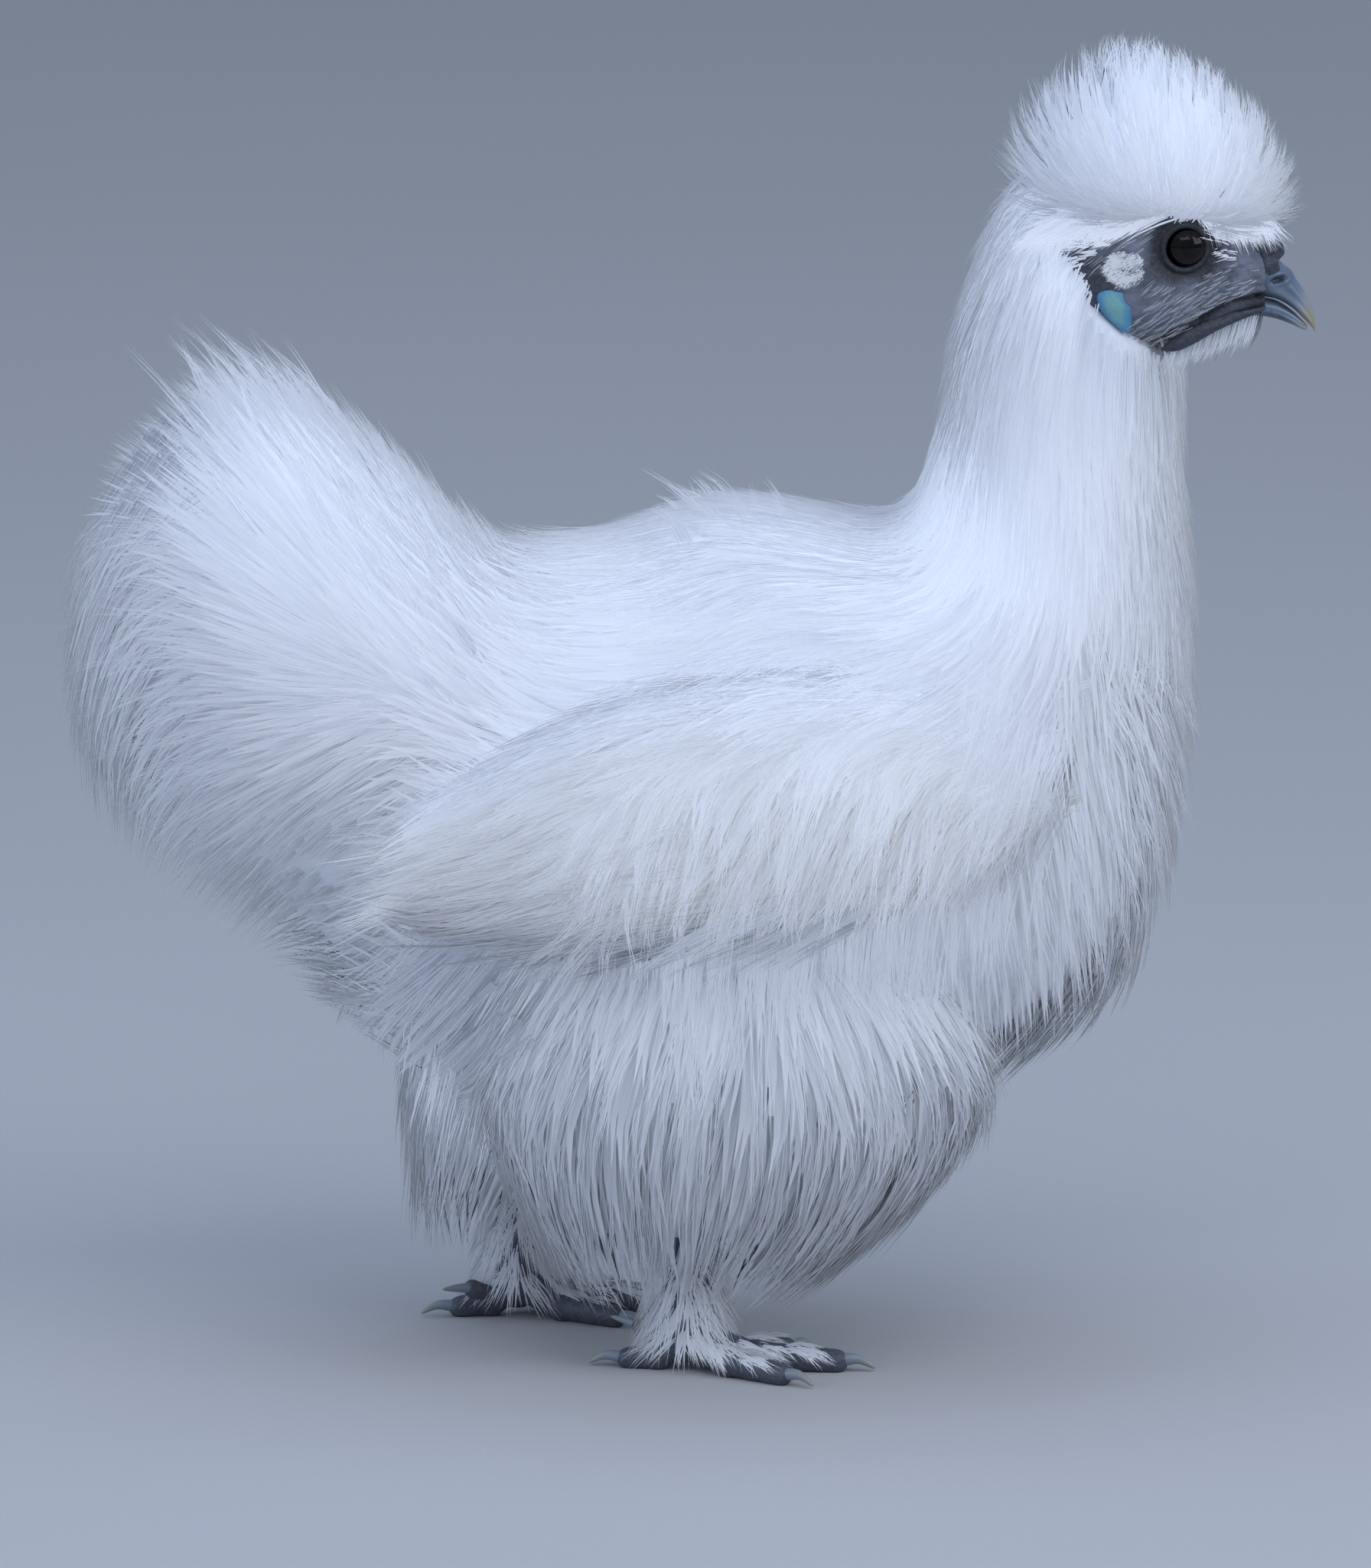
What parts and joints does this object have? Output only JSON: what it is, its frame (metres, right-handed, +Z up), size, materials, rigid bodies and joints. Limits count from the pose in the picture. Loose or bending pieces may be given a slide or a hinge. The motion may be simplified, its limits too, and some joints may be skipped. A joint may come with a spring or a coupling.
{
  "type": "silkie chicken",
  "caption": "Life-size standing hen with a round feather crest, hair-like plumage, a full rounded tail, folded wings, turquoise earlobes and feathered feet, as a still display model.",
  "frame": {"origin": "the floor under the middle of the bird's box, at the level of the soles", "axes": "+X the way the hen faces, +Y her left side, +Z up"},
  "size_m": [0.303, 0.1622, 0.3214],
  "materials": {
    "white_plumage": "soft hair-like white feathers, matt with a faint silky sheen",
    "slate_skin": "dark slate-blue bare skin, finely wrinkled",
    "turquoise_lobe": "smooth turquoise skin",
    "blue_horn": "blue-grey horn that pales to straw at the tips",
    "dark_eye": "wet, near-black"
  },
  "bodies": {
    "root": {"head": "slate_skin", "comb": "slate_skin", "bill_upper": "blue_horn", "bill_lower": "blue_horn", "eye_left": "dark_eye", "eye_right": "dark_eye", "lobe_left": "turquoise_lobe", "lobe_right": "turquoise_lobe", "wattle_left": "slate_skin", "wattle_right": "slate_skin", "crest": "white_plumage", "neck": "white_plumage", "torso": "white_plumage", "tail": "white_plumage", "wing_left": "white_plumage", "wing_right": "white_plumage", "thigh_left": "white_plumage", "thigh_right": "white_plumage", "shank_left": "white_plumage", "shank_right": "white_plumage", "foot_left": "slate_skin", "foot_right": "slate_skin", "claw_left_1": "blue_horn", "claw_left_2": "blue_horn", "claw_left_3": "blue_horn", "claw_left_4": "blue_horn", "claw_left_5": "blue_horn", "claw_right_1": "blue_horn", "claw_right_2": "blue_horn", "claw_right_3": "blue_horn", "claw_right_4": "blue_horn", "claw_right_5": "blue_horn"}
  },
  "joints": []
}
